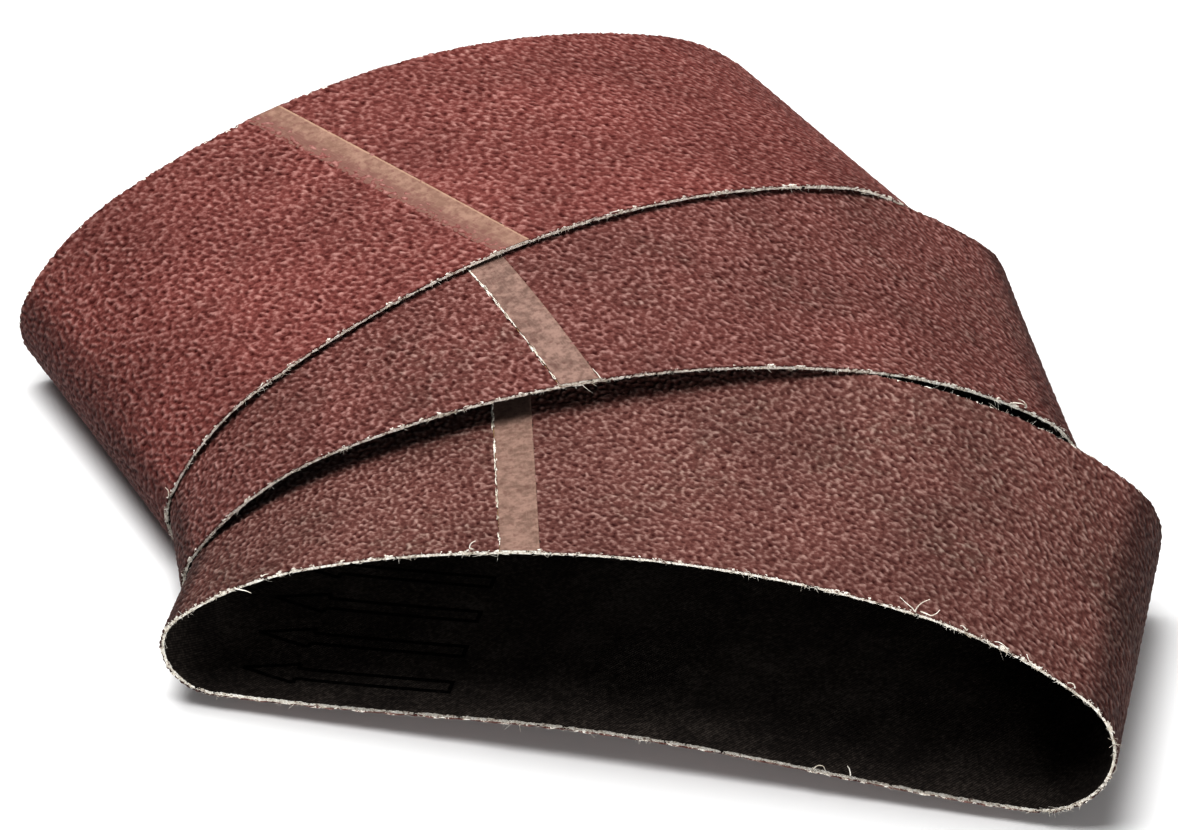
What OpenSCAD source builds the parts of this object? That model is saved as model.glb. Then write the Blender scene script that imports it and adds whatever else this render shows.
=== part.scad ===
// Three endless sanding belts, one inside the next and fanned out, lying on their flat sides.
// +Z is up and +Y runs into the loops along the middle belt's axis, so the open mouths face -Y.
// The origin is under the middle of the fan's bounding box, on the surface that the fan lies on.
//
// Each loop's side view is a chain of tangent arcs. It starts at the right end of the underside
// and goes round the right nose, the right shoulder, the crown, the left shoulder and the left
// nose. The left nose's radius is the one that brings the chain back down to the underside.

/* [Belt] */
// Width of a belt, from one cut edge to the other
belt_w = 100; // [75:1:120]
// Length of a belt once round its loop, along the middle of the cloth
belt_len = 560; // [556:1:566]
// Thickness of the cloth backing
cloth_t = 0.7; // [0.6:0.05:0.7]
// Thickness of the resin and grain on the cloth
grain_t = 0.7; // [0.5:0.05:0.7]

/* [Splice] */
// Width of the tan strip that crosses the belt at the splice
splice_w = 11; // [8:0.5:15]
// Sideways lean of the splice for each millimetre across the belt
splice_lean = -0.24; // [-0.4:0.01:0.4]
// Part of the tan strip where the upper ply is no longer glued to the under ply
tongue_w = 2; // [1:0.5:4]
// Thickness of the resin skin left where the grain is ground off
skin_t = 0.25; // [0.2:0.05:0.3]
// Thickness of the upper ply, skived thin
upper_ply_t = 0.55; // [0.5:0.05:0.55]
// Thickness of the glue film between the plies
glue_t = 0.1; // [0.1:0.05:0.15]
// Open slit at each cut end of the cloth
slit_w = 0.3; // [0.2:0.1:0.6]

/* [Outer belt] */
// Radii of the right nose, right shoulder, crown and left shoulder
outer_radii = [31, 51, 253, 78]; // [5:1:400]
// Turn of each of those arcs, in degrees
outer_turns = [132.5, 27.5, 43.5, 36]; // [10:0.5:170]
// Rise of the middle of the underside off the surface
outer_bow = 0; // [0:0.1:1]
// Where the left end of its underside stands in the middle belt's frame, at the front edge
outer_at = [-2, 36]; // [-60:0.5:60]
// Swing about the vertical from the middle belt, in degrees
outer_swing = 18.5; // [17:0.5:20]
// Distance from that left end to the tan strip, at the front edge
outer_splice_x = 82; // [60:1:120]

/* [Middle belt] */
// Radii of the right nose, right shoulder, crown and left shoulder
middle_radii = [23, 196, 285, 90]; // [5:1:400]
// Turn of each of those arcs, in degrees
middle_turns = [148, 30.5, 21, 32]; // [10:0.5:170]
// Rise of the middle of the underside off the surface
middle_bow = 0.5; // [0:0.1:2]
// Distance from the left end of its underside to the tan strip, at the front edge
middle_splice_x = 85.5; // [60:1:120]

/* [Inner belt] */
// Radii of the right nose, right shoulder, crown and left shoulder
inner_radii = [21.5, 140, 320, 102]; // [5:1:400]
// Turn of each of those arcs, in degrees
inner_turns = [146, 26, 28, 23.5]; // [10:0.5:170]
// Rise of the middle of the underside off the surface
inner_bow = 4.4; // [0:0.2:8]
// Where the left end of its underside stands in the middle belt's frame, at the front edge
inner_at = [-14, -35]; // [-60:0.5:60]
// Swing about the vertical from the middle belt, in degrees
inner_swing = -22; // [-24:0.5:-20]
// Distance from that left end to the tan strip, at the front edge
inner_splice_x = 77.5; // [60:1:120]

/* [Hidden] */

belt_t = grain_t + cloth_t;
// Air left between the underside of one belt and the one that it lies on
air = 0.4;
lift = belt_t + air;
under_ply_t = belt_t - skin_t - upper_ply_t - glue_t;
lap_w = splice_w - tongue_w;
// Length once round the grain side, which is outside the middle of the cloth
grain_len = belt_len + 2 * PI * (grain_t + cloth_t / 2);
// Furthest that a facet may stray from its arc, and the most that a facet may turn
chord_gap = 0.06;
facet_turn = 6;
bow_steps = 12;
// How far cutting shapes run past what they cut
past = 2;

outer = [outer_radii, outer_turns, outer_bow, outer_at, outer_swing, 0, outer_splice_x];
middle = [middle_radii, middle_turns, middle_bow, [0, 0], 0, lift, middle_splice_x];
inner = [inner_radii, inner_turns, inner_bow, inner_at, inner_swing, 2 * lift, inner_splice_x];

function total(v) = v * [for (i = v) 1];

// Point reached from p, heading h, along an arc of radius r that turns left by t
function arc_end(p, h, r, t) = p + r * [sin(h + t) - sin(h), cos(h) - cos(h + t)];

// The chain's arcs as [start point, start heading, radius, turn]
function arcs(radii, turns, p = [0, 0], h = 0, i = 0) =
    i == len(radii) ? [] : concat(
        [[p, h, radii[i], turns[i]]],
        arcs(radii, turns, arc_end(p, h, radii[i], turns[i]), h + turns[i], i + 1)
    );

// End point of a chain of arcs
function chain_end(chain) =
    let (a = chain[len(chain) - 1]) arc_end(a[0], a[1], a[2], a[3]);

// All five arcs of a belt, with the left nose that closes the loop
function loop_arcs(belt) =
    let (
        four = arcs(belt[0], belt[1]),
        top = chain_end(four),
        h = total(belt[1]),
        nose_r = top[1] / (1 - cos(h))
    )
    concat(four, [[top, h, nose_r, 360 - h]]);

// Length of the loop as drawn: its arcs and its slightly bowed underside
function drawn_len(belt) =
    let (
        chain = loop_arcs(belt),
        flat = -chain_end(chain)[0],
        arc_lens = [for (a = chain) a[2] * a[3] * PI / 180]
    )
    total(arc_lens) + sqrt(flat * flat + pow(PI * belt[2], 2) / 2);

// Scale that brings the drawn loop to the belt's true length
function fit(belt) = grain_len / drawn_len(belt);

// Length of the underside, from its left end to its right end
function flat_len(belt) = -chain_end(loop_arcs(belt))[0] * fit(belt);

function arc_steps(r, t) = ceil(t / min(facet_turn, 2 * acos(1 - chord_gap / r)));

// One arc as points, at a depth d inside the grain side
function arc_points(a, k, d) =
    let (
        centre = k * (a[0] + a[2] * [-sin(a[1]), cos(a[1])]),
        r = k * a[2] - d,
        n = arc_steps(k * a[2], a[3])
    )
    [for (i = [0:n - 1]) let (h = a[1] + a[3] * i / n) centre + r * [sin(h), -cos(h)]];

// The underside as points from left to right, at a depth d, rising by the bow in the middle
function under_points(flat, bow, d) =
    let (steps = bow > 0 ? bow_steps : 1)
    [
        for (i = [0:steps - 1])
            let (
                u = 180 * i / steps,
                slope = bow * PI / flat * sin(2 * u),
                up = [-slope, 1] / sqrt(1 + slope * slope)
            )
            [flat * (i / steps - 1), bow * pow(sin(u), 2)] + d * up
    ];

// The whole loop at a depth d, with the left end of the underside at x = 0
function outline(belt, d) =
    let (k = fit(belt), flat = flat_len(belt))
    [
        for (p = concat(
            [for (a = loop_arcs(belt)) each arc_points(a, k, d)],
            under_points(flat, k * belt[2], d)
        ))
        p + [flat, 0]
    ];

// Where a belt's own point [x, y] lies in plan
function plan(belt, p) =
    let (s = belt[4]) belt[3] + [p[0] * cos(s) - p[1] * sin(s), p[0] * sin(s) + p[1] * cos(s)];

// Every corner of the fan in plan, and the middle of the box round them
footprint = [
    for (belt = [outer, middle, inner], p = outline(belt, 0), y = [0, belt_w])
        plan(belt, [p[0], y])
];
xs = [for (p = footprint) p[0]];
ys = [for (p = footprint) p[1]];
middle_of_fan = [min(xs) + max(xs), min(ys) + max(ys)] / 2;

// Sets a belt in its place in the fan
module place(belt) {
    translate([belt[3][0] - middle_of_fan[0], belt[3][1] - middle_of_fan[1], belt[5]])
        rotate([0, 0, belt[4]])
            children();
}

// A layer of the belt between two depths under the grain side
module layer(belt, from, to) {
    translate([0, belt_w, 0])
        rotate([90, 0, 0])
            linear_extrude(belt_w)
                difference() {
                    polygon(outline(belt, from));
                    polygon(outline(belt, to));
                }
}

// An upright block over the crown that leans with the splice, between two distances from the
// splice's left edge
module splice_block(belt, from, to) {
    drift = splice_lean * belt_w;
    over = past * splice_lean;
    x = belt[6];
    translate([0, 0, 35])
        linear_extrude(100)
            polygon([
                [x + from - over, -past],
                [x + to - over, -past],
                [x + to + drift + over, belt_w + past],
                [x + from + drift + over, belt_w + past]
            ]);
}

// The woven strip: a plain loop, with one end skived and lapped over the other at the splice
module cloth(belt) {
    color([0.15, 0.14, 0.13])
        place(belt) {
            difference() {
                layer(belt, grain_t, belt_t);
                splice_block(belt, 0, lap_w);
            }
            // upper ply, joined to the loop on its right by the tongue
            intersection() {
                layer(belt, skin_t, skin_t + upper_ply_t);
                splice_block(belt, slit_w, splice_w);
            }
            // under ply, joined to the loop on its left
            intersection() {
                layer(belt, belt_t - under_ply_t, belt_t);
                splice_block(belt, -past, lap_w - slit_w);
            }
        }
}

// The resin and grain, which stop at both sides of the tan strip
module grain(belt) {
    color([0.50, 0.31, 0.28])
        place(belt)
            difference() {
                layer(belt, 0, grain_t);
                splice_block(belt, 0, splice_w);
            }
}

// The film that holds the two plies together
module glue(belt) {
    color([0.72, 0.62, 0.42])
        place(belt)
            intersection() {
                layer(belt, skin_t + upper_ply_t, belt_t - under_ply_t);
                splice_block(belt, slit_w, lap_w - slit_w);
            }
}

// The tan strip: what is left of the resin where the grain is ground off the upper ply
module splice(belt) {
    color([0.64, 0.50, 0.43])
        place(belt)
            intersection() {
                layer(belt, 0, skin_t);
                splice_block(belt, slit_w, splice_w);
            }
}

cloth(outer);  // outer_cloth
grain(outer);  // outer_grain
glue(outer);  // outer_glue
splice(outer);  // outer_splice
cloth(middle);  // middle_cloth
grain(middle);  // middle_grain
glue(middle);  // middle_glue
splice(middle);  // middle_splice
cloth(inner);  // inner_cloth
grain(inner);  // inner_grain
glue(inner);  // inner_glue
splice(inner);  // inner_splice
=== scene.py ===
# Three cloth-backed sanding belts for a hand-held belt sander, one inside the next and fanned
# out on a bench. Lengths are in metres, except where a name or a comment says millimetres.
import math

import bpy
import numpy as np
from mathutils import Matrix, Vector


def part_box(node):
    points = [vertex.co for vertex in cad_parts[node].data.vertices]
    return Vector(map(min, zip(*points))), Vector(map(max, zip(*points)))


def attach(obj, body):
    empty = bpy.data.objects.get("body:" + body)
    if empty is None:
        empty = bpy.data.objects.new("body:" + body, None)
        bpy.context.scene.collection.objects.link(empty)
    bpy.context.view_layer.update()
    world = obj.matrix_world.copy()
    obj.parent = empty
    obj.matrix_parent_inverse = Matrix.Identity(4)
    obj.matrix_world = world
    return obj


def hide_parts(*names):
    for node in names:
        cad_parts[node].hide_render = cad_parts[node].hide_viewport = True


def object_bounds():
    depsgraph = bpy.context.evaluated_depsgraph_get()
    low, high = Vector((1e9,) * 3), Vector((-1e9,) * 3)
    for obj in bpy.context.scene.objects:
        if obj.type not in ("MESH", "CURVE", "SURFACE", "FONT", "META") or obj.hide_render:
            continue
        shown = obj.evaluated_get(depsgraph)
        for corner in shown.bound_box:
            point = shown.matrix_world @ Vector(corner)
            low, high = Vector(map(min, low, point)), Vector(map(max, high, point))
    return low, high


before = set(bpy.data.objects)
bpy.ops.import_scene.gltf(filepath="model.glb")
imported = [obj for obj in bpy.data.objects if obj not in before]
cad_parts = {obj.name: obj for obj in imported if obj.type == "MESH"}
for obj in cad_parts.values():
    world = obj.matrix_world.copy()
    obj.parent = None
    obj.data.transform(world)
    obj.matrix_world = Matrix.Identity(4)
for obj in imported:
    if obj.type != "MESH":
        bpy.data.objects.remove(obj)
cad_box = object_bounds()


# ---- Cloth backings ----------------------------------------------------------------------
# Each belt's body is one strip of dark cotton-polyester cloth, filled with resin and slit to
# width, so its two long edges are raw and pale. Its ends are skived, lapped and glued into a
# loop. Off its drums the loop springs into its own curve, a little fuller at one edge.
MM = 0.001
BELT_WIDTH = 0.100
# Once round the belt, on its grain side
LOOP_LENGTH = 0.5666
# The cloth cut flat: 560 mm along its middle, and 9 mm more for the lap
# How far the lap runs sideways for each metre across the belt
SPLICE_LEAN = 0.23
NAMES = ("outer", "middle", "inner")


def cut_edge(radii, turns, bow, ends, shift):
    """One edge of a belt in millimetres and degrees: nose, shoulder, crown, shoulder, nose, base.

    ends are the heights of the left and right ends of the base, and shift moves it sideways."""
    turns = np.radians(list(turns) + [360 - sum(turns)])
    heads = np.concatenate([[0], np.cumsum(turns)])
    rise = sum(r * (math.cos(a) - math.cos(b)) for r, a, b in zip(radii, heads, heads[1:]))
    radii = list(radii) + [rise / (1 - math.cos(heads[4]))]
    here = np.zeros(2)
    points = []
    heading = []
    for r, a, b in zip(radii, heads, heads[1:]):
        h = np.linspace(a, b, 300, endpoint=False)
        points.append(here + r * np.column_stack([np.sin(h) - math.sin(a), math.cos(a) - np.cos(h)]))
        heading.append(h)
        here = here + r * np.array([math.sin(b) - math.sin(a), math.cos(a) - math.cos(b)])
    base = -here[0]
    u = np.linspace(0, 1, 300)
    points.append(np.column_stack([base * (u - 1), bow * np.sin(np.pi * u) ** 2]))
    heading.append(2 * np.pi + np.arctan(bow * np.pi * np.sin(2 * np.pi * u) / base))
    points = np.concatenate(points)
    steps = np.linalg.norm(np.diff(points, axis=0), axis=1)
    along = np.concatenate([[0], np.cumsum(steps)])
    size = LOOP_LENGTH / along[-1]
    points = points * size
    base = base * size
    x = points[:, 0] + base
    z = points[:, 1]
    tilt = math.atan2((ends[1] - ends[0]) * MM, base)
    return {
        "along": along * size,
        "x": x * math.cos(tilt) - z * math.sin(tilt) + shift * MM,
        "z": x * math.sin(tilt) + z * math.cos(tilt) + ends[0] * MM,
        "heading": np.concatenate(heading) + tilt,
    }


# Where the left end of the middle belt's base lies: 16.55 mm in from the left of its CAD loop
nest_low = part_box("middle_grain")[0]
nest_left = nest_low[0] + 0.01655
nest_front = nest_low[1]

# bulge lifts the crown between its edges, or lowers it where it is negative, most of all at
# bulge_at from the left end of the base. kick lifts the rear edge's right end, which rests on
# the nose of the belt outside it. splice is the place of the lap along the front edge.
BULGE_REACH = 0.066
BELTS = {
    "outer": {
        "front": cut_edge([31.5, 65, 259, 63], [129, 33.5, 45, 36.5], 0, [0, 0], 0),
        "rear": cut_edge([27, 85, 260, 76], [128, 33, 44, 32.5], 0, [1.5, 0], 1.2),
        "at": (-0.002, 0.036),
        "swing": math.radians(17.5),
        "bulge": 0.0,
        "bulge_at": 0.087,
        "kick": 0.0,
        "splice": 0.2145,
    },
    "middle": {
        "front": cut_edge([29.5, 177, 310, 94], [146.5, 22, 32.5, 35.5], 1, [0.8, 1.3], -1.5),
        "rear": cut_edge([24, 191, 306, 91], [143, 36.5, 23.5, 30], 0.5, [3.3, 1.8], -0.7),
        "at": (0, 0),
        "swing": 0.0,
        "bulge": 0.0026,
        "bulge_at": 0.087,
        "kick": 0.0019,
        "splice": 0.2067,
    },
    "inner": {
        "front": cut_edge([22.5, 129, 304, 107], [145, 24.5, 30.5, 24], 5.5, [4.6, 4.1], 0.5),
        "rear": cut_edge([21.5, 137, 332, 104], [144, 30, 27.5, 18], 4, [3.9, 4.1], 0.2),
        "at": (-0.014, -0.0345),
        "swing": math.radians(-21.5),
        "bulge": -0.0022,
        "bulge_at": 0.125,
        "kick": 0.0,
        "splice": 0.2161,
    },
}


def on_belt(belt, along, across, depth):
    """Points on a belt: along the loop, across it from its front edge, and in from its grain."""
    along, across, depth = np.broadcast_arrays(along, across, depth)
    lap = along % LOOP_LENGTH
    share = across / BELT_WIDTH
    side = {}
    for part in ("x", "z", "heading"):
        front = np.interp(lap, belt["front"]["along"], belt["front"][part])
        rear = np.interp(lap, belt["rear"]["along"], belt["rear"][part])
        side[part] = front * (1 - share) + rear * share
    facing_up = np.clip(-np.cos(side["heading"]), 0, 1)
    crown = facing_up * np.clip(1 - ((side["x"] - belt["bulge_at"]) / BULGE_REACH) ** 2, 0, 1)
    depth = depth - belt["bulge"] * crown * np.sin(np.pi * np.clip(share, 0, 1))
    x = side["x"] - depth * np.sin(side["heading"])
    z = side["z"] + depth * np.cos(side["heading"])
    # The kick grows over the right of the base and dies away a few millimetres up the nose
    right = np.clip((side["x"] - 0.12) / 0.08, 0, 1)
    z = z + belt["kick"] * right * np.clip(share, 0, 1) ** 2 * np.exp(-side["z"] / 0.008)
    c = math.cos(belt["swing"])
    s = math.sin(belt["swing"])
    east = nest_left + belt["at"][0] + x * c - across * s
    north = nest_front + belt["at"][1] + x * s + across * c
    return np.stack([east, north, z], axis=-1)


def wander(count, step, size, seed):
    """A smooth random line of count samples, step apart, that turns about every size."""
    noise = np.fft.rfft(np.random.default_rng(seed).standard_normal(count))
    waves = np.fft.rfftfreq(count, step) * size
    line = np.fft.irfft(noise * np.exp(-(waves**2)), count)
    return line / line.std()


def build(name, points, face_groups, readings):
    """A mesh object from points, groups of (faces, smooth) and named numbers at each point."""
    mesh = bpy.data.meshes.new(name)
    corners = np.concatenate([np.ravel(faces) for faces, _ in face_groups])
    sizes = np.concatenate([np.full(len(f), len(f[0])) for f, _ in face_groups])
    smooth = np.concatenate([np.full(len(f), s) for f, s in face_groups])
    mesh.vertices.add(len(points))
    mesh.vertices.foreach_set("co", np.ravel(points).astype(np.float32))
    mesh.loops.add(len(corners))
    mesh.loops.foreach_set("vertex_index", corners.astype(np.int32))
    mesh.polygons.add(len(sizes))
    starts = np.concatenate([[0], np.cumsum(sizes)[:-1]])
    mesh.polygons.foreach_set("loop_start", starts.astype(np.int32))
    mesh.polygons.foreach_set("use_smooth", smooth.astype(bool))
    for key, values in readings.items():
        layer = mesh.attributes.new(key, "FLOAT", "POINT")
        layer.data.foreach_set("value", np.ravel(values).astype(np.float32))
    mesh.update(calc_edges=True)
    mesh.validate()
    piece = bpy.data.objects.new(name, mesh)
    bpy.context.scene.collection.objects.link(piece)
    return piece


def band(name, belt, along, across, top, bottom, readings=None):
    """A closed layer of a belt, with its faces at depths top and bottom.

    along, top and bottom are grids with a row for each step along and a column for each step
    across. A bottom given as one number keeps only every sixth column between its edges."""
    n, m = along.shape
    wide = np.broadcast_to(across, (n, m))
    upper = np.arange(n * m).reshape(n, m)
    points = [on_belt(belt, along, wide, top).reshape(-1, 3)]
    kept = {"along": [along.ravel()], "across": [wide.ravel()]}
    for key, values in (readings or {}).items():
        kept[key] = [np.ravel(values)]
    if np.ndim(bottom):
        inner_columns = np.arange(m)
    else:
        inner_columns = np.unique(np.append(np.arange(0, m, 6), m - 1))
        bottom = np.full((n, m), bottom)
    chosen = np.zeros((n, m), bool)
    chosen[[0, -1], :] = True
    chosen[:, inner_columns] = True
    lower = np.zeros((n, m), int)
    lower[chosen] = n * m + np.arange(chosen.sum())
    points.append(on_belt(belt, along[chosen], wide[chosen], bottom[chosen]))
    for key in kept:
        kept[key].append(kept[key][0].reshape(n, m)[chosen])

    def quads(a, b, c, d):
        return np.stack([a, b, c, d], axis=-1).reshape(-1, 4)

    groups = [(quads(upper[:-1, :-1], upper[:-1, 1:], upper[1:, 1:], upper[1:, :-1]), True)]
    under = lower[1:-1, inner_columns] if len(inner_columns) < m else lower
    groups.append((quads(under[:-1, :-1], under[1:, :-1], under[1:, 1:], under[:-1, 1:]), True))
    if len(inner_columns) < m:
        # Where the sparse inner face meets the two ends, which keep every column
        for a, b in zip(inner_columns, inner_columns[1:]):
            start = np.concatenate([lower[0, a:b + 1][::-1], lower[1, [a, b]]])
            end = np.concatenate([lower[-1, a:b + 1], lower[-2, [b, a]]])
            groups.append((start[None, :], True))
            groups.append((end[None, :], True))
    groups.append((quads(upper[:-1, 0], upper[1:, 0], lower[1:, 0], lower[:-1, 0]), False))
    groups.append((quads(upper[1:, -1], upper[:-1, -1], lower[:-1, -1], lower[1:, -1]), False))
    groups.append((quads(upper[0, :-1], lower[0, :-1], lower[0, 1:], upper[0, 1:]), False))
    groups.append((quads(upper[-1, 1:], lower[-1, 1:], lower[-1, :-1], upper[-1, :-1]), False))
    kept = {key: np.concatenate(values) for key, values in kept.items()}
    return build(name, np.concatenate(points), groups, kept)


class Finish:
    """A material's nodes, with short ways to add and join them."""

    def __init__(self, name, roughness, specular):
        self.material = bpy.data.materials.new(name)
        self.material.use_nodes = True
        self.tree = self.material.node_tree
        self.shader = self.tree.nodes["Principled BSDF"]
        self.shader.inputs["Roughness"].default_value = roughness
        self.shader.inputs["Specular IOR Level"].default_value = specular

    def put(self, socket, value):
        if isinstance(value, bpy.types.NodeSocket):
            self.tree.links.new(value, socket)
        else:
            socket.default_value = value

    def add(self, kind, out=0, settings=None, **inputs):
        node = self.tree.nodes.new(kind)
        for key, value in (settings or {}).items():
            setattr(node, key, value)
        for key, value in inputs.items():
            self.put(node.inputs[key], value)
        return node.outputs[out]

    def calc(self, kind, *values):
        node = self.tree.nodes.new("ShaderNodeMath")
        node.operation = kind
        for socket, value in zip(node.inputs, values):
            self.put(socket, value)
        return node.outputs[0]

    def reading(self, name):
        return self.add("ShaderNodeAttribute", "Fac", {"attribute_name": name})

    def place(self):
        return self.add("ShaderNodeTexCoord", "Object")

    def noise(self, scale, detail=2.0, rough=0.5, where=None):
        return self.add(
            "ShaderNodeTexNoise", "Fac", None,
            Vector=where or self.place(), Scale=scale, Detail=detail, Roughness=rough,
        )

    def between(self, value, low, high, out_low=0.0, out_high=1.0):
        node = self.tree.nodes.new("ShaderNodeMapRange")
        node.interpolation_type = "SMOOTHSTEP"
        for key, x in (("Value", value), ("From Min", low), ("From Max", high),
                       ("To Min", out_low), ("To Max", out_high)):
            self.put(node.inputs[key], x)
        return node.outputs[0]

    def ramp(self, value, stops):
        node = self.tree.nodes.new("ShaderNodeValToRGB")
        self.put(node.inputs[0], value)
        while len(node.color_ramp.elements) < len(stops):
            node.color_ramp.elements.new(0.5)
        for element, (at, colour) in zip(node.color_ramp.elements, stops):
            element.position = at
            element.color = (*colour, 1)
        return node.outputs[0]

    def mix(self, share, first, second, kind="MIX"):
        node = self.tree.nodes.new("ShaderNodeMix")
        node.data_type = "RGBA"
        node.blend_type = kind
        for socket, value in zip((node.inputs[0], node.inputs[6], node.inputs[7]), (share, first, second)):
            if isinstance(value, tuple):
                value = (*value, 1)
            self.put(socket, value)
        return node.outputs[2]

    def bump(self, height, strength, reach):
        normal = self.add("ShaderNodeBump", 0, None, Height=height, Strength=strength, Distance=reach)
        self.put(self.shader.inputs["Normal"], normal)

    def colour(self, value):
        self.put(self.shader.inputs["Base Color"], value)


WARP_PITCH = 0.00065
WEFT_PITCH = 0.0009
ARROW_FROM = 0.3515
ARROW_LENGTH = 0.058
ARROW_LANE = 0.0165
HEAD_LENGTH = 0.015
HEAD_HALF = 0.0043
SHAFT_HALF = 0.0023
SIDE_LINE_HALF = 0.0007
END_LINE_HALF = 0.0006


def backing_cloth():
    """Dark twill, worn paler at its raw edges, with running arrows printed on the inside."""
    f = Finish("backing_cloth", 0.9, 0.03)
    along = f.reading("along")
    across = f.reading("across")
    warp = f.calc("SINE", f.calc("MULTIPLY", across, 2 * math.pi / WARP_PITCH))
    twill = f.calc("ADD", f.calc("MULTIPLY", along, 2 * math.pi / WEFT_PITCH),
                   f.calc("MULTIPLY", across, math.pi / WARP_PITCH))
    weft = f.calc("SINE", twill)
    weave = f.calc("MULTIPLY", warp, weft)
    slub = f.noise(900, 3.0, 0.6)
    height = f.calc("ADD", weave, f.calc("MULTIPLY", slub, 1.5))
    stain = f.noise(60, 4.0, 0.6)
    shade = f.calc("ADD", slub, f.calc("MULTIPLY", stain, 0.6))
    shade = f.calc("ADD", f.calc("MULTIPLY", weave, 0.18), shade)
    dark = f.ramp(f.between(shade, 0.35, 1.35), [
        (0.0, (0.005, 0.004, 0.004)), (0.5, (0.028, 0.022, 0.019)), (1.0, (0.108, 0.089, 0.076))])
    # Running arrows: outlines 58 mm long, in a row across the belt, that point against the lap.
    # back is the way back from an arrow's tip, and off is the way out from its middle.
    back = f.calc("SUBTRACT", along, ARROW_FROM)
    lane = f.calc("MODULO", f.calc("SUBTRACT", across, HEAD_HALF), ARROW_LANE)
    off = f.calc("ABSOLUTE", f.calc("SUBTRACT", lane, ARROW_LANE / 2))
    is_head = f.calc("LESS_THAN", back, HEAD_LENGTH)
    head_half = f.calc("MULTIPLY", is_head, f.calc("MULTIPLY", back, HEAD_HALF / HEAD_LENGTH))
    shaft_half = f.calc("MULTIPLY", f.calc("SUBTRACT", 1.0, is_head), SHAFT_HALF)
    from_side = f.calc("ABSOLUTE", f.calc("SUBTRACT", off, f.calc("ADD", head_half, shaft_half)))
    sides = f.calc("LESS_THAN", from_side, SIDE_LINE_HALF)
    inside = f.calc("MULTIPLY", f.calc("GREATER_THAN", back, 0.0), f.calc("LESS_THAN", back, ARROW_LENGTH))
    from_tail = f.calc("ABSOLUTE", f.calc("SUBTRACT", back, ARROW_LENGTH - END_LINE_HALF))
    tail = f.calc("MULTIPLY", f.calc("LESS_THAN", from_tail, END_LINE_HALF),
                  f.calc("LESS_THAN", off, SHAFT_HALF))
    from_barbs = f.calc("ABSOLUTE", f.calc("SUBTRACT", back, HEAD_LENGTH))
    barbs = f.calc("MULTIPLY", f.calc("GREATER_THAN", off, SHAFT_HALF - 0.0002),
                   f.calc("LESS_THAN", off, HEAD_HALF + 0.0001))
    barbs = f.calc("MULTIPLY", f.calc("LESS_THAN", from_barbs, END_LINE_HALF), barbs)
    line = f.calc("MAXIMUM", f.calc("MULTIPLY", sides, inside), f.calc("MAXIMUM", tail, barbs))
    patchy = f.between(f.noise(700, 2.0), 0.3, 0.5, 0.75, 1.0)
    ink = f.calc("MULTIPLY", line, patchy)
    inked = f.mix(ink, dark, (0.0012, 0.001, 0.001))
    # Raw edges: undyed cotton shows for a few tenths of a millimetre, more in some places
    rim = f.calc("MINIMUM", across, f.calc("SUBTRACT", BELT_WIDTH, across))
    reach = f.between(f.noise(420, 3.0, 0.7), 0.35, 0.7, 0.00002, 0.0006)
    bare = f.calc("LESS_THAN", rim, reach)
    yarn = f.ramp(f.noise(900, 3.0, 0.7), [
        (0.36, (0.14, 0.08, 0.07)), (0.43, (0.66, 0.60, 0.51)), (0.56, (0.97, 0.95, 0.89))])
    # Along the base, which lies on the bench, the bare edge yarn is darker
    base_edge_darkening = f.calc("MULTIPLY", f.between(along, 0.362, 0.385, 0.0, 0.55),
                   f.between(along, 0.553, 0.575, 1.0, 0.0))
    yarn = f.mix(base_edge_darkening, yarn, (0.10, 0.085, 0.075))
    f.colour(f.mix(bare, inked, yarn))
    f.bump(height, 0.7, 0.00015)
    return f.material


cloth_finish = backing_cloth()
for name in NAMES:
    belt = BELTS[name]
    left = belt["splice"]
    steps = np.concatenate([
        left + np.array([-8.7, -6, -3, -1, -0.4, 0.0]) * MM,
        np.arange(left + 1.2 * MM, left + LOOP_LENGTH - 12 * MM, 1.2 * MM),
        left + LOOP_LENGTH - np.array([11.2, 10.6, 10, 9.4, 8.9, 6, 3, 1, 0.3]) * MM,
    ])
    rows = np.concatenate([[0, 0.35, 0.8], np.arange(2, 99, 2.0), [99.2, 99.65, 100]]) * MM
    along = steps[:, None] + SPLICE_LEAN * rows[None, :]
    # Each end is skived where the two plies lie on each other: depths in millimetres
    over = (left + LOOP_LENGTH - steps) / MM
    under = (left - steps) / MM
    top = np.interp(over, [0.3, 10, 11.2], [0.25, 0.25, 0.7]) + np.interp(under, [0, 0.4], [0, 0.2])
    base = np.interp(over, [0.3, 8.9, 9.4], [0.8, 0.8, 1.4])
    size = along.shape
    wide = np.tile(rows, (len(steps), 1))
    wide[:, [0, -1]] += 0.0001 * np.random.default_rng(5).standard_normal((len(steps), 2))
    piece = band(
        f"{name}_backing", belt, along, wide,
        np.broadcast_to(top[:, None] * MM, size), np.broadcast_to(base[:, None] * MM, size),
    )
    piece.data.materials.append(cloth_finish)
    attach(piece, f"{name}_belt")
    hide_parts(f"{name}_cloth")


# ---- Abrasive coats ----------------------------------------------------------------------
# Coarse red-brown grain stands in two coats of resin on the cloth. The coat is an open band
# that starts at one side of the splice and runs round to the other, where it is ground off.
COAT_DEPTH = 0.0007
STRIP_WIDTH = 0.011
GRAIN_PITCH = 0.00042
GRAIN_SIZE = 0.0022
# Depth of the grain's usual level below the highest grains, in millimetres, and how far one
# step of the relief stands out
GRAIN_LEVEL = 0.26
GRAIN_RISE = 0.000115
# Along the base, which lies underneath, the rows of the relief are further apart
BASE_STEP = 0.0018
# The tightest nose turns by about this many radians in 8 mm
SHARPEST_TURN = 0.35
# How much longer the grains lie across each belt than along it
GRAIN_STRETCH = {"outer": 1.5, "middle": 1.35, "inner": 1.3}


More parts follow.
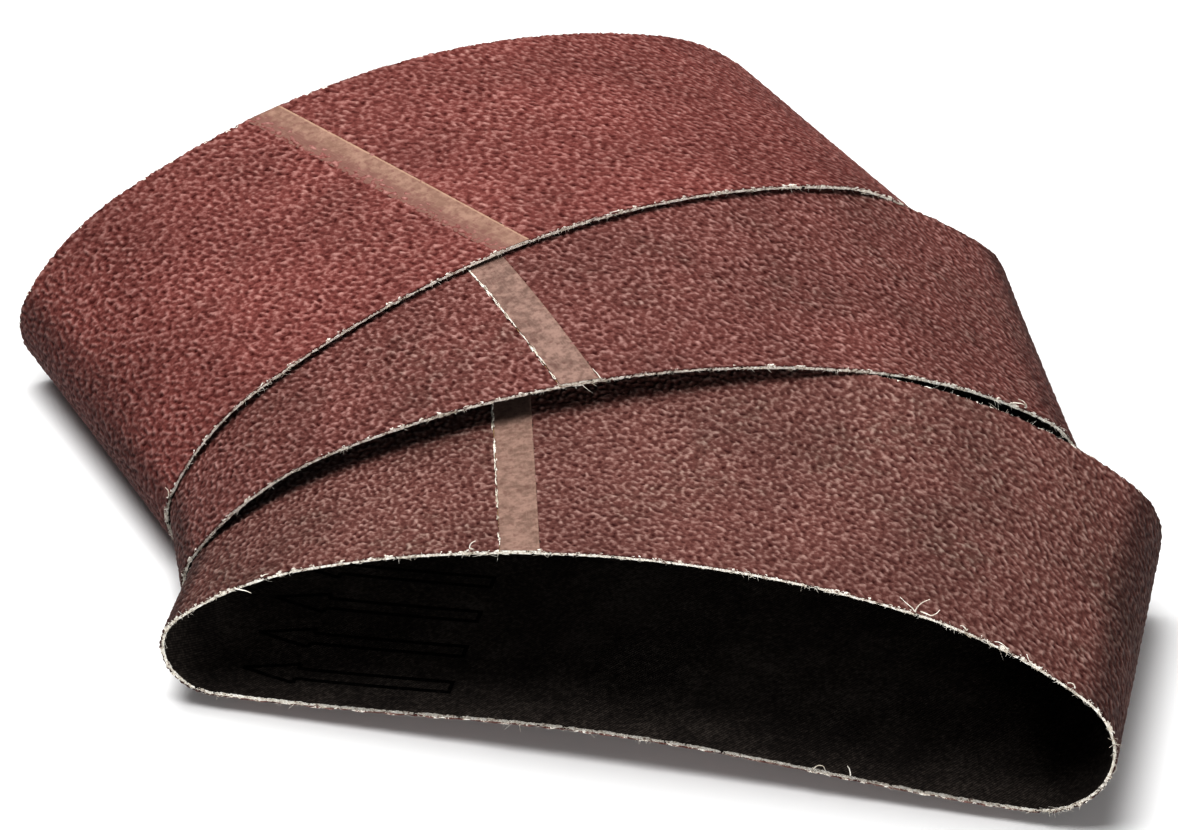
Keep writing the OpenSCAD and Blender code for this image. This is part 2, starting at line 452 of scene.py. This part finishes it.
def lumps(count, pitch, size, seed, stretch=1.0):
    """A grid of rounded lumps about size apart, longer across by stretch, mostly from -2 to 2."""
    noise = np.fft.rfft2(np.random.default_rng(seed).standard_normal(count))
    down = np.fft.fftfreq(count[0], pitch)[:, None]
    over = np.fft.rfftfreq(count[1], pitch)[None, :]
    waves = np.hypot(down, over * stretch) * size
    field = np.fft.irfft2(noise * np.exp(-(((waves - 1) / 0.5) ** 2)), count)
    return field / field.std()


def grain_finish(name, pit, body, crest, dust):
    """Resin-bound grain: dark between the lumps and paler on their crests, partly its own tone and partly
    painted shade and painted highlight, with dusty patches, and with painted shade over the bends.
    """
    f = Finish(name, 0.65, 0.1)
    relief = f.reading("relief")
    fine = f.noise(850, 2.0, 0.55)
    level = f.calc("ADD", f.calc("MULTIPLY", relief, 0.17), f.calc("MULTIPLY", fine, 0.8))
    level = f.calc("ADD", level, 0.1)
    # Darker in the pits and paler on the crests: partly the grain's own tone, partly painted shade in the
    # pits and painted highlight on the crests
    hue = f.ramp(level, [(0.05, pit), (0.5, body), (1.0, crest)])
    patch = f.between(f.noise(38, 4.0, 0.6), 0.42, 0.68, 0.0, 0.55)
    drift = f.between(f.noise(260, 2.0, 0.5), 0.35, 0.65, 0.2, 1.0)
    hue = f.mix(f.calc("MULTIPLY", patch, drift), hue, f.mix(1.0, hue, dust, "MULTIPLY"))
    # Worn a little paler or darker in broad patches, and darkened over the bends by painted shade, the more
    # the tighter the bend
    wear = f.between(f.noise(24, 3.0, 0.6), 0.32, 0.68, 0.88, 1.12)
    painted_fold_shade = f.calc("SUBTRACT", 1.04, f.calc("MULTIPLY", f.reading("bend"), 0.62))
    shade = f.calc("MULTIPLY", wear, painted_fold_shade)
    grey = f.add("ShaderNodeCombineColor", 0, None, Red=shade, Green=shade, Blue=shade)
    hue = f.mix(1.0, hue, grey, "MULTIPLY")
    rim = f.calc("MINIMUM", f.reading("across"), f.calc("SUBTRACT", BELT_WIDTH, f.reading("across")))
    fray = f.between(f.noise(420, 3.0, 0.7), 0.47, 0.70, -0.0004, 0.0008)
    bare = f.calc("LESS_THAN", rim, fray)
    yarn = f.ramp(f.noise(1100, 3.0), [
        (0.3, (0.22, 0.15, 0.12)), (0.42, (0.74, 0.68, 0.59)), (0.6, (0.94, 0.91, 0.85))])
    f.colour(f.mix(bare, hue, yarn))
    f.bump(level, 0.9, 0.00045)
    return f.material


GRAIN_LOOK = {
    "outer": grain_finish("outer_grain_red", (0.052, 0.004, 0.003), (0.182, 0.054, 0.046),
                          (0.440, 0.230, 0.205), (0.90, 1.00, 0.98)),
    "middle": grain_finish("middle_grain_brown", (0.042, 0.004, 0.003), (0.148, 0.051, 0.043),
                           (0.405, 0.232, 0.208), (0.82, 1.05, 1.00)),
    "inner": grain_finish("inner_grain_brown", (0.038, 0.005, 0.004), (0.134, 0.053, 0.044),
                          (0.375, 0.236, 0.206), (0.80, 1.06, 1.00)),
}

for number, name in enumerate(NAMES):
    belt = BELTS[name]
    left = belt["splice"]
    # The outer strip's left side still holds buried grain, which pokes through its skin
    buried = 0.0045 if name == "outer" else 0
    ends = (left - buried, left + LOOP_LENGTH - STRIP_WIDTH)
    base_from = 0.3590 if name == "outer" else 0.3555
    steps = np.concatenate([
        np.arange(ends[0], base_from, GRAIN_PITCH),
        np.arange(base_from, LOOP_LENGTH - 0.002, BASE_STEP),
        np.arange(LOOP_LENGTH - 0.002, ends[1], GRAIN_PITCH),
        [ends[1]],
    ])
    rows = np.linspace(0, BELT_WIDTH, int(BELT_WIDTH / GRAIN_PITCH) + 1)
    count = (int((ends[1] - ends[0]) / GRAIN_PITCH) + 2, len(rows))
    field = lumps(count, GRAIN_PITCH, GRAIN_SIZE, 11 + number, GRAIN_STRETCH[name])
    field = 0.85 * field + 0.4 * lumps(count, GRAIN_PITCH, 0.0014, 81 + number)
    field = field + 0.32 * lumps(count, GRAIN_PITCH, 0.0057, 21 + number)
    place = (steps - ends[0]) / GRAIN_PITCH
    low = np.clip(place.astype(int), 0, count[0] - 2)
    part = (place - low)[:, None]
    relief = np.clip(field[low] * (1 - part) + field[low + 1] * part, -2.2, 2.2)
    # Grains stand irregularly along both sides of the splice
    from_start = np.clip(1 - (steps - ends[0]) / 0.002, 0, 1)[:, None]
    from_end = np.clip(1 - (ends[1] - steps) / 0.002, 0, 1)[:, None]
    ragged = 0.0003 * np.clip(wander(2 * len(rows), GRAIN_PITCH, 0.0016, 25 + number), -2, 2)
    shift = from_end * (ragged[: len(rows)] + 0.0003) - from_start * np.abs(ragged[len(rows):]) * 0.6
    along = steps[:, None] + SPLICE_LEAN * rows[None, :] + shift
    level = np.full(len(steps), GRAIN_LEVEL)
    if name == "outer":
        level = np.interp((steps - left) / MM, [-4.5, -2, 0, 1.5], [0.29, 0.17, 0.13, GRAIN_LEVEL])
    top = level[:, None] * MM - GRAIN_RISE * relief
    # The cut through the grain is ragged too
    wide = np.tile(rows, (len(steps), 1))
    jag = np.random.default_rng(15 + number).standard_normal((len(steps), 2))
    wide[:, [0, -1]] += 0.00012 * np.clip(jag, -2, 2)
    # How sharply the belt bends there, from 0 on the crown to 1 on the tightest nose. The coat's colour uses
    # it for painted shade on the bends.
    turn = [on_belt(belt, along + step, rows, MM) - on_belt(belt, along + step, rows, 0)
            for step in (-0.004, 0.004)]
    bend = np.clip(np.linalg.norm(turn[1] - turn[0], axis=-1) / MM / SHARPEST_TURN, 0, 1)
    piece = band(f"{name}_coat", belt, along, wide, top, COAT_DEPTH, {"relief": relief, "bend": bend})
    piece.data.materials.append(GRAIN_LOOK[name])
    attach(piece, f"{name}_belt")
    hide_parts(f"{name}_grain")


# ---- Splice strips -----------------------------------------------------------------------
# Across each belt the grain is ground off for 11 mm, so that the lap is no thicker than the
# rest. What is left is a tan skin of resin and cloth filler, with a few ground-down grains.
def strip_finish(name, pale, tan, speck_colour, specks, clean):
    """Ground-off resin: tan and clean to the right of clean, with grain left in it to the left."""
    f = Finish(name, 0.75, 0.15)
    inset = f.reading("inset")
    cloud = f.calc("ADD", f.calc("MULTIPLY", f.noise(480, 3.0, 0.6), 0.65),
                   f.calc("MULTIPLY", f.noise(150), 0.35))
    hue = f.ramp(f.between(cloud, 0.36, 0.64), [(0.0, tan), (1.0, pale)])
    grit = f.noise(620, 2.0, 0.5)
    left_side = f.between(inset, clean - 0.003, clean + 0.002, specks, 0.0)
    hue = f.mix(f.calc("MULTIPLY", left_side, 2.0), hue, f.mix(0.35, speck_colour, tan))
    spotted = f.between(f.calc("ADD", grit, left_side), 0.5, 0.75, 0.0, 0.55)
    hue = f.mix(spotted, hue, speck_colour)
    streak = f.add("ShaderNodeTexNoise", "Fac", None, Scale=1.0, Detail=2.0,
                   Vector=f.add("ShaderNodeCombineXYZ", 0, None,
                                X=f.calc("MULTIPLY", inset, 1800.0),
                                Y=f.calc("MULTIPLY", f.reading("across"), 250.0)))
    hue = f.mix(f.between(streak, 0.5, 0.75, 0.0, 0.35), hue, pale)
    # A paler line where the skin was ground thinnest, along its right edge
    thin = f.between(inset, 0.0102, 0.0107, 0.0, specks * 1.8)
    f.colour(f.mix(thin, hue, (0.60, 0.40, 0.28)))
    f.bump(f.calc("ADD", f.calc("MULTIPLY", grit, 0.8), cloud), 0.5, 0.00025)
    return f.material


STRIP_LOOK = {
    "outer": strip_finish("outer_strip_tan", (0.350, 0.215, 0.163), (0.245, 0.140, 0.104),
                          (0.185, 0.080, 0.068), 0.26, 0.0056),
    "middle": strip_finish("middle_strip_tan", (0.325, 0.210, 0.172), (0.175, 0.107, 0.086),
                           (0.120, 0.056, 0.046), 0.03, 0.006),
    "inner": strip_finish("inner_strip_tan", (0.310, 0.198, 0.158), (0.180, 0.110, 0.085),
                          (0.130, 0.060, 0.048), 0.02, 0.006),
}

for number, name in enumerate(NAMES):
    belt = BELTS[name]
    slit = 0.00005 if name == "outer" else 0.0003
    inset = np.linspace(slit, STRIP_WIDTH, 30)
    rows = np.linspace(0, BELT_WIDTH, 251)
    along = belt["splice"] - inset[::-1, None] + SPLICE_LEAN * rows[None, :]
    grid = np.broadcast_to(inset[::-1, None], along.shape)
    field = lumps(along.shape, 0.0004, 0.0012, 31 + number)
    # The left side of the skin sinks into the grain on the outer belt, and stands up on the others
    left_side = [0.17, 0.14, 0.12] if name == "outer" else [0.03, 0.08, 0.12]
    top = (np.interp(grid / MM, [0.3, 0.9, 2.5], left_side) + 0.035 * np.clip(field, -2, 2)) * MM
    piece = band(f"{name}_splice_strip", belt, along, rows, top, 0.00025, {"inset": grid})
    piece.data.materials.append(STRIP_LOOK[name])
    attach(piece, f"{name}_belt")
    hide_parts(f"{name}_splice")


# ---- Lap glue ----------------------------------------------------------------------------
# A film of amber polyurethane glue a tenth of a millimetre thick holds the two plies of each
# lap. It shows at the cut edges and in the slit, where a little of it squeezes out.
def glue_finish():
    """Set glue: amber, slightly glossy, clouded."""
    f = Finish("lap_glue", 0.35, 0.5)
    cloud = f.noise(800, 3.0, 0.6)
    f.colour(f.ramp(cloud, [(0.3, (0.20, 0.11, 0.05)), (0.7, (0.46, 0.31, 0.15))]))
    f.bump(cloud, 0.4, 0.0001)
    return f.material


glue_look = glue_finish()
for number, name in enumerate(NAMES):
    belt = BELTS[name]
    inset = np.array([0.03, 0.12, 0.2, 0.28, 0.4, 2, 4, 6, 7.5, 8.7])
    rows = np.linspace(0, BELT_WIDTH, 201)
    along = belt["splice"] - inset[::-1, None] * MM + SPLICE_LEAN * rows[None, :]
    bead = np.interp(inset, [0.03, 0.12, 0.28, 0.4], [0.5, 0.38, 0.4, 0.8])[::-1, None]
    wave = 0.08 * np.clip(wander(len(rows), 0.0005, 0.004, 41 + number), -2, 2)[None, :]
    top = np.where(bead < 0.75, bead + wave, bead) * MM
    piece = band(f"{name}_glue_film", belt, along, rows, top, 0.0009)
    piece.data.materials.append(glue_look)
    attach(piece, f"{name}_belt")
    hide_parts(f"{name}_glue")


# ---- Loose threads -----------------------------------------------------------------------
# Slitting leaves the cloth's undyed yarn ends standing along both edges of a belt, and at the
# cut end of the upper ply beside the tan strip. Here and there a longer thread has come away.
def thread_finish():
    """Undyed cotton: off-white, soiled by red dust in places."""
    f = Finish("raw_threads", 0.9, 0.1)
    soil = f.noise(260, 4.0, 0.7)
    f.colour(f.ramp(soil, [
        (0.26, (0.22, 0.13, 0.10)), (0.38, (0.64, 0.57, 0.47)), (0.54, (0.92, 0.88, 0.80))]))
    f.bump(f.noise(4000, 2.0), 0.3, 0.00005)
    return f.material


def thread_tubes(paths, radii):
    """Three-sided tapering tubes round paths, an array of (threads, stations, 3) points."""
    count, stations, _ = paths.shape
    ahead = np.gradient(paths, axis=1)
    ahead /= np.linalg.norm(ahead, axis=2, keepdims=True) + 1e-12
    helper = np.where(np.abs(ahead[..., 2:]) > 0.8, np.array([1.0, 0, 0]), np.array([0, 0, 1.0]))
    side = np.cross(ahead, helper)
    side /= np.linalg.norm(side, axis=2, keepdims=True) + 1e-12
    lift = np.cross(ahead, side)
    taper = np.linspace(1.0, 0.45, stations)[None, :, None] * radii[:, None, None]
    ring = [paths + taper * (math.cos(a) * side + math.sin(a) * lift)
            for a in (0, 2 * math.pi / 3, 4 * math.pi / 3)]
    points = np.stack(ring, axis=2)
    index = np.arange(count * stations * 3).reshape(count, stations, 3)
    turned = np.roll(index, -1, axis=2)
    walls = np.stack([index[:, :-1], turned[:, :-1], turned[:, 1:], index[:, 1:]], axis=-1).reshape(-1, 4)
    ends = np.concatenate([index[:, 0, ::-1], index[:, -1, :]])
    return points.reshape(-1, 3), walls, ends


threads_look = thread_finish()
# The long threads that have come away from each belt's front edge: place along in millimetres,
# then offsets in millimetres along the belt, out from the edge and off the grain side
LONG_THREADS = {
    "outer": (
        (332, (0, -1, -0.5), (-0.8, 1.2, 0.6), (-2.2, 1.6, 1.0), (-3.2, 1.0, 1.6), (-3.6, 0.6, 2.4)),
        (175, (0, -1, -0.5), (0.8, 1.0, 0.6), (2.0, 1.2, 0.8), (3.0, 0.8, 0.6), (3.6, 0.4, 0.4)),
    ),
    "middle": (
        (72, (0, -1, -0.5), (0.8, 1.2, 0.8), (1.8, 1.4, 1.8), (3.0, 1.0, 2.2), (4.0, 0.4, 1.8)),
        (76, (0, -1, -0.5), (0.4, 1.2, 0.8), (-0.6, 1.6, 1.4), (-2.0, 1.4, 1.4), (-3.2, 1.0, 0.8)),
        (195.6, (-0.3, 0.5, -0.1), (0, -0.4, 0.2), (0.3, -1.6, 0.3), (0.7, -2.8, 0.2), (1.0, -4.0, 0.1)),
    ),
    "inner": (
        (106, (0, -1, -1), (0.5, 1.5, 1.5), (0.2, 2.2, 3.5), (-0.6, 2.4, 5.2), (-2.0, 2.2, 6.6)),
        (106, (0, -1, -1), (0.5, 1.8, 1.2), (1.6, 2.4, 2.6), (3.4, 2.6, 3.6), (5.2, 2.0, 4.4)),
        (105, (0, -1, -0.5), (-1.2, 1.0, 1.0), (-2.8, 1.6, 1.2), (-3.9, 1.0, 2.0), (-4.4, 0.4, 3.2)),
        (292, (0, -1, -0.5), (-1.2, 1.0, -0.6), (-2.6, 1.4, -1.2), (-3.8, 1.4, -2.0), (-4.6, 1.2, -3.2)),
        (283, (0, -1, -0.2), (-0.6, 0.6, 0.2), (-1.4, 0.9, 0.5), (-2.2, 0.7, 0.6), (-2.8, 0.4, 0.3)),
        (92, (0, -1, -0.5), (0.3, 0.8, 0.4), (0.9, 1.1, 1.1), (1.8, 1.0, 1.5), (2.4, 0.8, 1.0)),
        (60, (0, -1, -0.5), (0.4, 1.0, 0.8), (1.4, 1.2, 1.8), (2.2, 0.8, 1.4), (2.8, 0.6, 0.6)),
        (223, (0, -1, -0.5), (0.6, 0.8, 1.2), (0.2, 1.0, 2.4), (-0.6, 0.8, 3.0), (-1.4, 0.5, 3.2)),
        (80, (0, -1, -0.5), (1.2, 1.2, 0.8), (2.6, 1.4, 1.6), (3.8, 1.0, 1.4), (4.6, 0.6, 0.6)),
        (70, (0, -1, -0.5), (1.0, 1.4, 0.6), (2.8, 1.8, 0.6), (4.8, 1.6, 1.0), (6.0, 1.0, 2.0)),
        (509, (0, -1, -1), (0.4, 1.2, -2.6), (1.6, 1.4, -4.2), (3.0, 1.4, -4.2), (3.6, 1.0, -2.6)),
        (519, (0, -1, -1), (0.3, 1.0, -2.6), (0.1, 1.2, -3.8), (-0.3, 1.2, -5.0), (-0.9, 1.0, -5.6)),
    ),
}
# The row beside the strip has gaps where the crowding of its yarn ends is below this
BARE_BELOW = {"middle": -0.6, "inner": -0.4}
# Where the base starts, along which the threads are worn thin
WORN_FROM = 0.385

for number, name in enumerate(NAMES):
    belt = BELTS[name]
    rng = np.random.default_rng(51 + number)
    # Short yarn ends that stand out from the cut, as many at the rear edge as at the front
    count = 3600
    at_edge = np.arange(count) % 2
    start = np.sort(rng.uniform(0, LOOP_LENGTH, count // 2)).repeat(2)[:count]
    crowd = np.interp(start, np.linspace(0, LOOP_LENGTH, 400), wander(400, 0.0014, 0.012, 61 + number))
    length = rng.uniform(0.25, 1.0, count) * np.exp(0.35 * crowd)
    slant = rng.normal(0, 0.9, count)
    rise = rng.normal(0.1, 0.5, count)
    depth = rng.uniform(0.55, 1.45, count)
    t = np.linspace(0, 1, 4)[None, :]
    curl = rng.normal(0, 0.5, (count, 1))
    out = length[:, None] * (t * (1 - 0.35 * np.abs(slant[:, None]) * t)) - 0.15
    along = start[:, None] + (length * slant)[:, None] * (t + curl * t**2) * MM
    down = depth[:, None] - (length * rise)[:, None] * t + curl * length[:, None] * t**2 * 0.5
    across = np.where(at_edge[:, None] == 0, -out, BELT_WIDTH / MM + out) * MM
    worn = np.where(start > WORN_FROM, 0.7, 1.0)
    fuzz = thread_tubes(on_belt(belt, along, across, down * MM), rng.uniform(0.04, 0.10, count) * worn * MM)
    # Yarn ends that lie along the cut, a few to each millimetre
    count = 700
    at_edge = np.arange(count) % 2
    start = np.sort(rng.uniform(0, LOOP_LENGTH, count))
    length = rng.uniform(0.8, 2.6, count)
    depth = rng.uniform(0.7, 1.4, (count, 1)) + rng.normal(0, 0.12, (count, 4))
    out = rng.uniform(0.0, 0.12, (count, 1)) + rng.normal(0, 0.05, (count, 4))
    along = start[:, None] + length[:, None] * t * MM
    across = np.where(at_edge[:, None] == 0, -out, BELT_WIDTH / MM + out) * MM
    worn = np.where(start > WORN_FROM, 0.5, 1.0)
    laid = thread_tubes(on_belt(belt, along, across, depth * MM), rng.uniform(0.05, 0.13, count) * worn * MM)
    groups = [fuzz, laid]
    # The cut end of the upper ply: short yarn ends in broken rows beside the tan strip. On the
    # outer belt it is buried in the grain.
    if name != "outer":
        across = np.sort(rng.uniform(0, BELT_WIDTH, 240))
        crowd = wander(60, 0.0017, 0.006, 71 + number)
        crowd = np.interp(across, np.linspace(0, BELT_WIDTH, 60), crowd)
        across = across[crowd > BARE_BELOW[name]][:, None]
        count = len(across)
        run = rng.uniform(1.0, 3.0, (count, 1)) * t * MM
        drift = (rng.normal(0.15, 0.16, (count, 1)) + rng.normal(0, 0.06, (count, 4))) * MM
        along = belt["splice"] + SPLICE_LEAN * (across + run) - drift
        down = (-0.05 + rng.normal(0, 0.05, (count, 4))) * MM
        yarns = on_belt(belt, along, np.clip(across + run, 0, BELT_WIDTH), down)
        groups.append(thread_tubes(yarns, rng.uniform(0.11, 0.22, count) * MM))
    paths = []
    for place, *offsets in LONG_THREADS[name]:
        knots = np.array(offsets, float)
        share = np.linspace(0, len(knots) - 1, 17)
        smooth = np.stack([np.interp(share, np.arange(len(knots)), knots[:, k]) for k in range(3)], axis=-1)
        for _ in range(2):
            smooth[1:-1] = (smooth[:-2] + 2 * smooth[1:-1] + smooth[2:]) / 4
        along = (place + smooth[:, 0]) * MM
        paths.append(on_belt(belt, along, -smooth[:, 1] * MM, -smooth[:, 2] * MM))
    groups.append(thread_tubes(np.array(paths), np.full(len(paths), 0.27 * MM)))
    points = []
    walls = []
    ends = []
    total = 0
    for group_points, group_walls, group_ends in groups:
        points.append(group_points)
        walls.append(group_walls + total)
        ends.append(group_ends + total)
        total += len(group_points)
    # No thread goes down into the bench
    points = np.concatenate(points)
    points[:, 2] = np.maximum(points[:, 2], 0.05 * MM)
    piece = build(f"{name}_edge_threads", points,
                  [(np.concatenate(walls), True), (np.concatenate(ends), False)], {})
    piece.data.materials.append(threads_look)
    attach(piece, f"{name}_belt")


# ---- Bench top, lights and camera --------------------------------------------------------
# A plain pale bench top under soft studio light: a large box high up on the left, a weaker one
# behind, a small one low in front on the right, and a dim white room.
def bench_finish():
    """Matt white board."""
    f = Finish("bench_white", 0.7, 0.2)
    cloud = f.noise(6, 3.0, 0.5)
    f.colour(f.ramp(cloud, [(0.3, (0.86, 0.86, 0.86)), (0.7, (0.90, 0.90, 0.90))]))
    return f.material


corners = np.array([[-3, -3, 0], [3, -3, 0], [3, 3, 0], [-3, 3, 0]], float)
bench = build("bench_top", corners, [(np.array([[0, 1, 2, 3]]), False)], {})
bench.data.materials.append(bench_finish())

middle = [(low + high) / 2 for low, high in zip(*cad_box)]


def soft_box(name, size, power, place, aim):
    """A square area light at place that faces aim."""
    light = bpy.data.lights.new(name, "AREA")
    light.size = size
    light.energy = power
    box = bpy.data.objects.new(name, light)
    away = np.array(place) - np.array(aim)
    away = away / np.linalg.norm(away)
    side = np.cross([0, 1, 0.001], away)
    side = side / np.linalg.norm(side)
    up = np.cross(away, side)
    box.matrix_world = Matrix(((side[0], up[0], away[0], place[0]), (side[1], up[1], away[1], place[1]),
                               (side[2], up[2], away[2], place[2]), (0, 0, 0, 1)))
    bpy.context.scene.collection.objects.link(box)


belts_middle = (0, 0, 0.03)
soft_box("key_left", 1.0, 34, (-0.28, -0.1, 1.6), belts_middle)
soft_box("top_back", 1.0, 9, (-0.15, 0.6, 1.6), belts_middle)
soft_box("low_front", 0.5, 10, (0.5, -1.5, 0.5), belts_middle)

world = bpy.data.worlds.new("white_room")
world.use_nodes = True
world.node_tree.nodes["Background"].inputs[0].default_value = (1.0, 1.0, 1.0, 1)
world.node_tree.nodes["Background"].inputs[1].default_value = 0.13
bpy.context.scene.world = world
bpy.context.scene.view_settings.view_transform = "Standard"
bpy.context.scene.view_settings.look = "None"
bpy.context.scene.view_settings.gamma = 0.85

lens = bpy.data.cameras.new("studio_camera")
lens.lens = 166.0
lens.sensor_width = 36.0
lens.clip_start = 0.05
camera = bpy.data.objects.new("studio_camera", lens)
bearing = math.radians(11.21)
pitch = math.radians(34.62)
roll = math.radians(1.636)
distance = 1.504
aim = (middle[0] + 0.0005, middle[1] - 0.0082, 0.040)
stand = (
    aim[0] - distance * math.cos(pitch) * math.sin(bearing),
    aim[1] - distance * math.cos(pitch) * math.cos(bearing),
    aim[2] + distance * math.sin(pitch),
)
camera.matrix_world = (
    Matrix.Translation(stand)
    @ Matrix.Rotation(-bearing, 4, "Z")
    @ Matrix.Rotation(math.pi / 2 - pitch, 4, "X")
    @ Matrix.Rotation(roll, 4, "Z")
)
bpy.context.scene.collection.objects.link(camera)
bpy.context.scene.camera = camera
